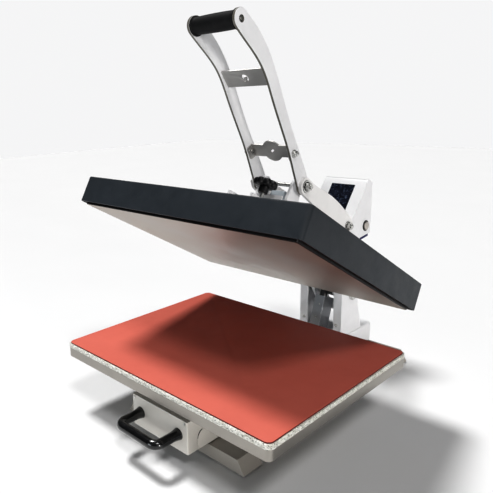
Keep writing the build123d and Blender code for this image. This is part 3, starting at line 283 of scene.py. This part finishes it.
# The raised platen's upward direction, against which the knob's joint is turned.
TILTED_UP = tuple(-v for v in joint_of["knob_turn"]["axis"])
PLATEN_TILT, GUARD_LEAN = 29.2, 20.7
MATERIALS = {
    "white_paint": powder_coat("white_paint", WHITE, 0.40),
    "cream_paint": powder_coat("cream_paint", (0.86, 0.85, 0.84), 0.38),
    "light_grey_paint": powder_coat("light_grey_paint", (0.60, 0.575, 0.53), 0.42),
    "warm_grey_paint": powder_coat("warm_grey_paint", (0.37, 0.345, 0.31), 0.45),
    "anthracite_paint": powder_coat("anthracite_paint", (0.022, 0.027, 0.033), 0.46, peel=0.00009,
                                    spread=0.14, shine=0.3),
    "magnet_steel": powder_coat("magnet_steel", (0.46, 0.51, 0.55), 0.38),
    "black_steel": powder_coat("black_steel", (0.013, 0.013, 0.014), 0.32),
    "platen_aluminium": bare_metal("platen_aluminium", (0.38, 0.36, 0.33), 0.36, grain=(1.2, 40, 55)),
    "hot_plate_aluminium": bare_metal("hot_plate_aluminium", (0.37, 0.325, 0.275), 0.34,
                                      grain=(26, 1, 26), turn=(PLATEN_TILT, 0, 0), depth=0.00001,
                                      spread=0.16, blotch=8, face=TILTED_UP, metallic=0.8),
    "grey_steel": bare_metal("grey_steel", (0.50, 0.49, 0.475), 0.46, grain=(2, 50, 50),
                             depth=0.000015, spread=0.08),
    "zinc_steel": bare_metal("zinc_steel", (0.62, 0.62, 0.60), 0.26, grain=(8, 30, 30),
                             depth=0.00001, spread=0.14, blotch=90),
    "guard_steel": bare_metal("guard_steel", (0.47, 0.48, 0.50), 0.36, grain=(30, 1.5, 1.5),
                              turn=(GUARD_LEAN, 0, 0)),
    "button_steel": bare_metal("button_steel", (0.55, 0.51, 0.47), 0.30, grain=(1, 30, 30),
                               spread=0.2, blotch=160),
    "brass": bare_metal("brass", (0.70, 0.50, 0.22), 0.30),
    "black_rubber": moulded("black_rubber", (0.005, 0.005, 0.0055), 0.6, grain=900, depth=0.00009,
                            shine=0.16),
    "navy_rubber": moulded("navy_rubber", (0.016, 0.016, 0.085), 0.45),
    "gloss_black_plastic": moulded("gloss_black_plastic", (0.002, 0.002, 0.0025), 0.16, grain=500,
                                   depth=0.000006, coat=0.5, shine=0.4),
    "matt_black_plastic": moulded("matt_black_plastic", (0.004, 0.004, 0.0045), 0.34, grain=1200,
                                  coat=0.05, shine=0.3),
    "red_silicone": silicone("red_silicone"),
    "speckled_felt": felt("speckled_felt"),
    "display_glass": dark_glass("display_glass"),
    "glass_wool": wool("glass_wool"),
    "circuit_board": circuit("circuit_board"),
}
# The lever's plates are cut from sheet; their cut edges are painted dark as painted shade.
LEVER_PAINT_SHADED_EDGES = powder_coat("lever_paint_shaded_edges", WHITE, 0.40, edge=(0.13, 0.12, 0.10))


def dress(piece, slot_name, body, *nodes, material=None):
    """Gives a piece its material, puts it on its body and hides the CAD nodes it stands for."""
    piece.data.materials.clear()
    piece.data.materials.append(material or MATERIALS[slot_name])
    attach(piece, body)
    if nodes:
        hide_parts(*nodes)
    return piece


# ================================================================ mesh helpers
def new_object(name, mesh_builder):
    """An object made from a bmesh, which is used up, and linked to the scene."""
    mesh = bpy.data.meshes.new(name)
    mesh_builder.to_mesh(mesh)
    mesh_builder.free()
    piece = bpy.data.objects.new(name, mesh)
    bpy.context.scene.collection.objects.link(piece)
    return piece


def smooth(piece, degrees):
    """Smooth shading, with edges sharper than an angle left as creases."""
    mesh = piece.data
    mesh.polygons.foreach_set("use_smooth", [True] * len(mesh.polygons))
    mesh.set_sharp_from_angle(angle=math.radians(degrees))
    return piece


def apply_modifiers(piece):
    """Replaces a piece's mesh by its evaluated one."""
    graph = bpy.context.evaluated_depsgraph_get()
    mesh = bpy.data.meshes.new_from_object(piece.evaluated_get(graph))
    piece.modifiers.clear()
    old = piece.data
    piece.data = mesh
    bpy.data.meshes.remove(old)
    return piece


BEVEL_SEGMENTS, BEVEL_OVER_DEGREES = 2, 28
MERGE_M, FLAT_DEGREES = 1e-6, 0.6


def softened(node, width):
    """A copy of a CAD node with its sheared and machined edges broken by a small round."""
    work = bmesh.new()
    work.from_mesh(frame["nodes"][node].data)
    bmesh.ops.remove_doubles(work, verts=work.verts, dist=MERGE_M)
    bmesh.ops.dissolve_limit(work, angle_limit=math.radians(FLAT_DEGREES), verts=work.verts,
                             edges=work.edges)
    piece = new_object(node + "_soft", work)
    bevel = piece.modifiers.new("edges", "BEVEL")
    bevel.width = width * MM
    bevel.segments = BEVEL_SEGMENTS
    bevel.limit_method = "ANGLE"
    bevel.angle_limit = math.radians(BEVEL_OVER_DEGREES)
    bevel.harden_normals = True
    smooth(piece, 60)
    apply_modifiers(piece)
    paint = LEVER_PAINT_SHADED_EDGES if node.startswith("lever_plate") else None
    return dress(piece, slot_of[node], body_of[node], node, material=paint)


def frame_of(origin, axis):
    """A matrix whose Z runs along an axis, at an origin."""
    return Matrix.Translation(origin) @ Vector(axis).to_track_quat("Z", "Y").to_matrix().to_4x4()


def lathe(name, place, profile, steps=48, wobble=None):
    """A turned piece: (distance along the axis, radius) points in millimetres, closed at both ends.

    wobble(angle, along) scales the radius, for a piece that isn't round."""
    work = bmesh.new()
    rings = []
    for along, radius in profile:
        ring = []
        for k in range(steps):
            angle = 2 * math.pi * k / steps
            r = radius * (wobble(angle, along) if wobble else 1)
            point = Vector((r * math.cos(angle), r * math.sin(angle), along)) * MM
            ring.append(work.verts.new(place @ point))
        rings.append(ring)
    for low, high in zip(rings, rings[1:]):
        for k in range(steps):
            work.faces.new((low[k], low[(k + 1) % steps], high[(k + 1) % steps], high[k]))
    work.faces.new(list(reversed(rings[0])))
    work.faces.new(rings[-1])
    bmesh.ops.recalc_face_normals(work, faces=work.faces)
    return smooth(new_object(name, work), 40)


CORNER_STEPS = 8


def rounded_outline(width, depth, radius, pitch):
    """Points round a rounded rectangle, in order, no further apart than about pitch."""
    points = []
    corners = ((1, 1, 0), (-1, 1, 90), (-1, -1, 180), (1, -1, 270))
    for index, (sx, sy, start) in enumerate(corners):
        centre = Vector((sx * (width / 2 - radius), sy * (depth / 2 - radius)))
        for k in range(CORNER_STEPS + 1):
            angle = math.radians(start + k * 90 / CORNER_STEPS)
            points.append(centre + radius * Vector((math.cos(angle), math.sin(angle))))
        nx, ny, nstart = corners[(index + 1) % 4]
        after = Vector((nx * (width / 2 - radius), ny * (depth / 2 - radius)))
        after += radius * Vector((math.cos(math.radians(nstart)), math.sin(math.radians(nstart))))
        run = after - points[-1]
        count = max(1, int(run.length / pitch))
        points += [points[-1] + run * (k / count) for k in range(1, count)]
    return points


WANDER_PER_MM, WANDER_PER_MM_UP = 0.11, 0.35


def slab(name, low, high, radius, edge, pitch=6.0, ragged=0.0):
    """A sheet between two corners with rounded plan corners and rounded rims.

    edge is the rim's rounding and ragged how far its outline wanders inwards, in millimetres."""
    size = (high - low) / MM
    centre = (low + high) / 2 / MM
    rims = [(edge, 0), (edge * 0.3, edge * 0.3), (0, edge), (0, size.z / 2), (0, size.z - edge),
            (edge * 0.3, size.z - edge * 0.3), (edge, size.z)]
    work = bmesh.new()
    rings = []
    for inset, height in rims:
        ring = []
        for p in rounded_outline(size.x - 2 * inset, size.y - 2 * inset, radius - inset, pitch):
            wander = noise.noise(Vector((p.x * WANDER_PER_MM, p.y * WANDER_PER_MM,
                                         height * WANDER_PER_MM_UP)))
            # The drift runs from about -1 to 0, so the outline only wanders inwards.
            drift = ragged * (wander - 0.9) / 1.9
            away = p.normalized() * drift
            ring.append(work.verts.new(Vector((centre.x + p.x + away.x, centre.y + p.y + away.y,
                                               low.z / MM + height)) * MM))
        rings.append(ring)
    count = len(rings[0])
    for lower, upper in zip(rings, rings[1:]):
        for k in range(count):
            work.faces.new((lower[k], lower[(k + 1) % count], upper[(k + 1) % count], upper[k]))
    work.faces.new(list(reversed(rings[0])))
    work.faces.new(rings[-1])
    bmesh.ops.recalc_face_normals(work, faces=work.faces)
    return smooth(new_object(name, work), 50)


def sweep(name, path, radii, steps=28):
    """A round bar along a path, with a radius at each of its points; all in millimetres."""
    work = bmesh.new()
    rings = []
    up = Vector((0, 0, 1))
    for k, (point, radius) in enumerate(zip(path, radii)):
        along = (path[min(k + 1, len(path) - 1)] - path[max(k - 1, 0)]).normalized()
        across = up.cross(along).normalized()
        rings.append([work.verts.new((point + radius * (math.cos(a) * across + math.sin(a) * up)) * MM)
                      for a in (2 * math.pi * j / steps for j in range(steps))])
    for low, high in zip(rings, rings[1:]):
        for j in range(steps):
            work.faces.new((low[j], low[(j + 1) % steps], high[(j + 1) % steps], high[j]))
    work.faces.new(list(reversed(rings[0])))
    work.faces.new(rings[-1])
    bmesh.ops.recalc_face_normals(work, faces=work.faces)
    return smooth(new_object(name, work), 45)


def along_axis(node, origin, axis):
    """How far a CAD node reaches along an axis, in millimetres from its origin."""
    reach = [(frame["nodes"][node].matrix_world @ v.co - origin).dot(axis) / MM
             for v in frame["nodes"][node].data.vertices]
    return min(reach), max(reach)


# ================================================================ metalwork
SOFT_EDGES = {
    "base_beam": 0.8, "front_foot": 0.7, "rear_foot": 0.7, "stand_side_plates": 0.5,
    "stand_back_plate": 0.5, "drawer_carriage": 0.4, "drawer_front": 0.45, "lower_platen": 0.7,
    "lever_plate_left": 0.7, "lever_plate_right": 0.7, "crank_plates": 0.9, "upper_cross_plate": 0.4,
    "keeper_plate": 0.4, "connecting_links": 0.8, "arm_plate_left": 0.7, "arm_plate_right": 0.7,
    "carrier_plate": 0.7, "magnet_bracket": 0.4, "electromagnet": 0.6, "platen_cover": 0.8,
    "heating_plate": 0.5, "controller_case": 0.6, "case_rear_cover": 0.3, "strut_bracket": 0.4,
    "strut_guard": 0.35, "platen_standoffs": 0.5, "frame_screws": 0.35, "arm_bolts": 0.35,
    "link_bolts": 0.5, "crank_pivot_bolts": 0.4, "lever_fasteners": 0.4, "drawer_screws": 0.3,
    "power_button": 0.4, "case_gasket": 0.5, "rubber_feet": 0.6, "power_inlet": 0.4,
    "display_glass": 0.2, "arm_hinge_pin": 0.5, "seam_gasket": 0.8, "insulation_blanket": 3.0,
}
for node_name, edge_width in SOFT_EDGES.items():
    softened(node_name, edge_width)

# ================================================================ pads
pad_low, pad_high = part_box("silicone_pad")
pad = slab("silicone_sheet", pad_low, pad_high, radius=10, edge=0.7)
dress(pad, "red_silicone", "drawer", "silicone_pad")
felt_low, felt_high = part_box("felt_layer")
FELT_SWELL = Vector((1.4, 1.4, 0)) * MM
felt_piece = slab("felt_sheet", felt_low - FELT_SWELL, felt_high + FELT_SWELL, radius=11, edge=0.6,
                  pitch=2.5, ragged=1.2)
dress(felt_piece, "speckled_felt", "drawer", "felt_layer")

# ================================================================ grip and handle
grip_low, grip_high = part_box("lever_grip")
grip_centre = (grip_low + grip_high) / 2
grip_half = (grip_high.x - grip_low.x) / 2 / MM
# From the grip's end to its middle: (share of half its length, radius in millimetres).
GRIP_PROFILE = ((-1.0, 16.2), (-0.995, 17.1), (-0.975, 17.45), (-0.945, 17.3), (-0.925, 16.2),
                (-0.90, 15.0), (-0.86, 14.75), (-0.6, 15.1), (-0.3, 15.4), (0.0, 15.5))
half_grip = [(share * grip_half, radius) for share, radius in GRIP_PROFILE]
whole_grip = half_grip + [(-along, radius) for along, radius in reversed(half_grip[:-1])]
grip = lathe("grip_sleeve", frame_of(grip_centre, (1, 0, 0)), whole_grip, steps=72)
dress(grip, "black_rubber", "lever", "lever_grip")

BAR_R, ELBOW_R, FLARE_R, FLARE_LENGTH = 8.5, 13, 10.8, 15
handle_low, handle_high = (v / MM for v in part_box("drawer_handle"))
handle_z = (handle_low.z + handle_high.z) / 2
bar_y = handle_low.y + BAR_R
leg_x = handle_high.x - BAR_R
leg_length = handle_high.y - bar_y - ELBOW_R
half_path = [Vector((leg_x, handle_high.y - leg_length * share, handle_z))
             for share in (0, 0.08, 0.2, 0.35, 0.5, 0.7, 0.9)]
for step in range(CORNER_STEPS + 1):
    turn = math.radians(90 * step / CORNER_STEPS)
    half_path.append(Vector((leg_x - ELBOW_R * (1 - math.cos(turn)),
                             bar_y + ELBOW_R * (1 - math.sin(turn)), handle_z)))
half_path += [Vector(((leg_x - ELBOW_R) * (1 - share), bar_y, handle_z)) for share in (0.2, 0.6, 1)]
handle_path = half_path + [Vector((-p.x, p.y, p.z)) for p in reversed(half_path[:-1])]


def bar_radius(point):
    """The handle thickens where its legs meet the drawer's face."""
    share = max(0.0, 1 - (handle_high.y - point.y) / FLARE_LENGTH)
    return BAR_R + (FLARE_R - BAR_R) * share ** 1.6


handle = sweep("handle_bar", handle_path, [bar_radius(p) for p in handle_path])
dress(handle, "gloss_black_plastic", "drawer", "drawer_handle")

# ================================================================ pressure knob
knob_axis = Vector(TILTED_UP)
knob_origin = Vector(joint_of["knob_turn"]["pos_m"])
knob_low, knob_high = along_axis("pressure_knob", knob_origin, knob_axis)
LOBES, LOBE_DEPTH = 8, 0.17
KNOB_R, HUB_R, DISC_T = 23.5, 9.5, 14
DISH_R, DISH_DEPTH = 8.6, 1.2
disc_low = knob_high - DISC_T


def lobed(angle, along):
    """Rounded lobes round the knob's disc, none on its hub."""
    if along < disc_low + 0.5:
        return 1
    return 1 - LOBE_DEPTH * abs(math.sin(angle * LOBES / 2)) ** 3


knob_profile = [
    (knob_low, HUB_R - 1), (knob_low + 1, HUB_R), (disc_low, HUB_R + 0.5),
    (disc_low + 0.6, KNOB_R - 3), (disc_low + 1.4, KNOB_R - 1), (disc_low + 3, KNOB_R),
    (knob_high - 4, KNOB_R), (knob_high - 1.8, KNOB_R - 0.8), (knob_high - 0.5, KNOB_R - 2.6),
    (knob_high, KNOB_R - 5), (knob_high, DISH_R + 0.9), (knob_high - DISH_DEPTH, DISH_R),
    (knob_high - DISH_DEPTH, 0.5),
]
knob = lathe("knob_lobed", frame_of(knob_origin, knob_axis), knob_profile, steps=128, wobble=lobed)
dress(knob, "matt_black_plastic", "knob", "pressure_knob")

# ================================================================ small details
THREAD_PITCH = 1.0


def thread(name, centre, axis, length, radius, body):
    """A stub of screw thread with a chamfered end."""
    profile = []
    for k in range(int(length / THREAD_PITCH)):
        profile += [(k * THREAD_PITCH, radius - 0.1), (k * THREAD_PITCH + 0.5, radius + 0.45)]
    profile += [(length, radius - 0.1), (length + 0.05, radius - 0.7)]
    dress(lathe(name, frame_of(centre, axis), profile, 32), "grey_steel", body)


def ring(name, centre, axis, thickness, radius, body):
    """A black ring under a bolt's head or nut, put in as painted shade for the shadow gap there."""
    profile = [(0, radius - 0.3), (0.25, radius),
               (thickness - 0.25, radius), (thickness, radius - 0.3)]
    dress(lathe(name, frame_of(centre, axis), profile, 40), "black_steel", body)


def dome_screw(name, centre, axis, radius, body):
    """A pan-head screw with a socket sunk in it."""
    profile = [(-0.4, radius), (0.5, radius), (1.1, radius * 0.86), (1.45, radius * 0.6),
               (1.45, radius * 0.42), (0.3, radius * 0.4), (0.3, 0.05)]
    dress(lathe(name, frame_of(centre, axis), profile, 24), "zinc_steel", body)


# Threads past the outer nuts: (node, body, how far the thread reaches in millimetres).
STUBS = (("link_shaft", "lever", 3.6), ("crank_pivot_bolts", "base", 2.9))
THREAD_R = 4.0
for node, body, stub in STUBS:
    low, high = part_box(node)
    middle = (low + high) / 2
    for sign, edge_x, tag in ((-1, low.x, "left"), (1, high.x, "right")):
        start = Vector((edge_x - sign * stub * MM, middle.y, middle.z))
        thread(f"{node}_thread_{tag}", start, (sign, 0, 0), stub - 0.15, THREAD_R, body)

# Black rings as painted shade, where dark shadow gaps show between the bright washers: (node, body,
# washers), and for each washer its distance from the middle along x, its thickness and its radius in millimetres.
SHADOW_GAP_WASHERS = (("link_shaft", "lever", ((61.0, 0.9, 12.4), (62.7, 0.8, 9.3))),
           ("crank_pivot_bolts", "base", ((61.1, 0.8, 11.4), (62.9, 0.7, 9.0))))
for node, body, places in SHADOW_GAP_WASHERS:
    low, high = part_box(node)
    middle = (low + high) / 2
    for sign, tag in ((-1, "left"), (1, "right")):
        for index, (near, thickness, radius) in enumerate(places):
            start = Vector((sign * near * MM, middle.y, middle.z))
            ring(f"{node}_washer_{tag}_{index}", start, (sign, 0, 0), thickness, radius, body)

# Black strip along the curved seam on each side of the drawer, as painted shade for the seam's shadow gap: an arc
# in Y and Z.
SEAM_Y, SEAM_Z, SEAM_R = -246.5, 50.3, 13.4
SEAM_START, SEAM_TURN, BEAD_STEPS = 98, 84, 16
front_low, front_high = (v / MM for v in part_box("drawer_front"))
for sign, tag in ((-1, "left"), (1, "right")):
    points = []
    for k in range(BEAD_STEPS + 1):
        angle = math.radians(SEAM_START + SEAM_TURN * k / BEAD_STEPS)
        points.append(Vector((sign * front_high.x, SEAM_Y + SEAM_R * math.cos(angle),
                              SEAM_Z + SEAM_R * math.sin(angle))))
    widths = [0.4 + 0.8 * math.sin(math.pi * k / BEAD_STEPS) ** 0.6 for k in range(BEAD_STEPS + 1)]
    dress(sweep(f"seam_shadow_strip_{tag}", points, widths, 12), "black_rubber", "drawer")

# Soft bead of the case's gasket, where it shows along both lower edges: (share of its length, radius).
gasket_low, gasket_high = (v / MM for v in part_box("case_gasket"))
GASKET_BEAD = ((0, 1.5), (0.05, 2.6), (0.5, 2.7), (0.95, 2.6), (1, 1.5))
for sign, tag in ((-1, "left"), (1, "right")):
    edge_x = sign * (gasket_high.x - 1.3)
    front = Vector((edge_x, gasket_low.y + 1, gasket_low.z + 0.4))
    rear = Vector((edge_x, gasket_high.y - 1, gasket_high.z - 3.6))
    points = [front + (rear - front) * share for share, radius in GASKET_BEAD]
    bead = sweep(f"gasket_bead_{tag}", points, [radius for share, radius in GASKET_BEAD], 20)
    dress(bead, "navy_rubber", "base")

# Two screws down the face of the strut's guard: (tag, distance along the strut, across it).
GUARD_SCREWS = (("low", 24, 1.0), ("high", 54, 3.0))
GUARD_FACE, GUARD_SCREW_R = 12.7, 1.9
strut_axis = Vector(joint_of["strut_slide"]["axis"])
strut_foot = Vector(joint_of["strut_swing"]["pos_m"])
guard_front = Vector((0, -strut_axis.z, strut_axis.y))
for tag, along, across in GUARD_SCREWS:
    centre = strut_foot + along * MM * strut_axis + Vector((across * MM, 0, 0))
    centre += GUARD_FACE * MM * guard_front
    dome_screw(f"guard_screw_{tag}", centre, guard_front, GUARD_SCREW_R, body_of["strut_guard"])

# The CAD nodes that are left as they are.
for cad_name, node in frame["nodes"].items():
    if node.hide_render:
        continue
    node.data.materials.clear()
    node.data.materials.append(MATERIALS[slot_of[cad_name]])

# ================================================================ stage
# The camera: its place in metres, its turn in degrees, and its lens and sensor in millimetres.
CAMERA_AT, CAMERA_TURN = (0.6707, -0.8450, 0.5967), (77.161, 1.803, 46.789)
LENS, SENSOR_WIDTH, SHIFT_X, SHIFT_Y = 40.97, 36, 0.139, -0.030
camera_data = bpy.data.cameras.new("camera")
camera_data.lens = LENS
camera_data.sensor_width = SENSOR_WIDTH
camera_data.shift_x = SHIFT_X
camera_data.shift_y = SHIFT_Y
camera_data.clip_start = 0.05
camera = bpy.data.objects.new("camera", camera_data)
camera.location = CAMERA_AT
camera.rotation_euler = Euler([math.radians(a) for a in CAMERA_TURN])
bpy.context.scene.collection.objects.link(camera)
bpy.context.scene.camera = camera


def soft_light(name, location, target, size, energy, colour):
    """A rectangular lamp that faces a point."""
    light = bpy.data.lights.new(name, "AREA")
    light.shape = "RECTANGLE"
    light.size, light.size_y = size
    light.energy = energy
    light.color = colour
    lamp = bpy.data.objects.new(name, light)
    lamp.location = location
    lamp.rotation_euler = (Vector(target) - Vector(location)).to_track_quat("-Z", "Y").to_euler()
    bpy.context.scene.collection.objects.link(lamp)


def sun(name, towards, strength, degrees, colour):
    """Even soft light from a direction, as from a wide softbox."""
    light = bpy.data.lights.new(name, "SUN")
    light.energy = strength
    light.angle = math.radians(degrees)
    light.color = colour
    lamp = bpy.data.objects.new(name, light)
    lamp.rotation_euler = Vector(towards).to_track_quat("Z", "Y").to_euler()
    bpy.context.scene.collection.objects.link(lamp)


sun("key", (-0.40, -0.03, 1.0), 2.9, 12, (1.0, 0.998, 0.99))
sun("fill", (0.62, -0.32, 1.0), 1.0, 12, (1.0, 0.99, 0.98))
sun("side", (0.95, -0.26, 0.04), 1.3, 8, (1.0, 0.98, 0.96))
MIDDLE = (0, 0, 0.3)
soft_light("front", (-0.3, -2.0, 0.35), MIDDLE, (0.8, 0.6), 9, (0.90, 0.96, 1.0))

# A bright ceiling over a dim room, for what metal and gloss reflect; the camera sees near white.
CEILING_FROM, CEILING_FULL = 0.15, 0.75
FLOOR_STRENGTH, CEILING_STRENGTH = 0.03, 0.13
world = bpy.data.worlds.new("studio")
bpy.context.scene.world = world
world.use_nodes = True
room = world.node_tree
for room_node in list(room.nodes):
    room.nodes.remove(room_node)
where = room.nodes.new("ShaderNodeTexCoord")
split = room.nodes.new("ShaderNodeSeparateXYZ")
rise = room.nodes.new("ShaderNodeMapRange")
rise.inputs["From Min"].default_value = CEILING_FROM
rise.inputs["From Max"].default_value = CEILING_FULL
rise.inputs["To Min"].default_value = FLOOR_STRENGTH
rise.inputs["To Max"].default_value = CEILING_STRENGTH
reflected = room.nodes.new("ShaderNodeBackground")
reflected.inputs["Color"].default_value = (0.94, 0.97, 1.0, 1)
backdrop = room.nodes.new("ShaderNodeBackground")
backdrop.inputs["Color"].default_value = (0.93, 0.93, 0.935, 1)
rays = room.nodes.new("ShaderNodeLightPath")
mix = room.nodes.new("ShaderNodeMixShader")
world_out = room.nodes.new("ShaderNodeOutputWorld")
for source, target in (
    (where.outputs["Generated"], split.inputs[0]),
    (split.outputs["Z"], rise.inputs["Value"]),
    (rise.outputs["Result"], reflected.inputs["Strength"]),
    (rays.outputs["Is Camera Ray"], mix.inputs[0]),
    (reflected.outputs[0], mix.inputs[1]),
    (backdrop.outputs[0], mix.inputs[2]),
    (mix.outputs[0], world_out.inputs["Surface"]),
):
    room.links.new(source, target)
bpy.context.scene.view_settings.view_transform = "Standard"
bpy.context.scene.view_settings.gamma = 0.82

FLOOR_HALF_M = 6
work = bmesh.new()
bmesh.ops.create_grid(work, x_segments=1, y_segments=1, size=FLOOR_HALF_M)
floor = new_object("floor", work)
floor_nodes = Nodes("floor_paper")
paper = floor_nodes.noise(3, 3)
floor.data.materials.append(floor_nodes.finish(
    floor_nodes.tint(paper, (0.79, 0.79, 0.795), (0.81, 0.81, 0.815)),
    floor_nodes.remap(paper, 0, 1, 0.7, 0.8)))
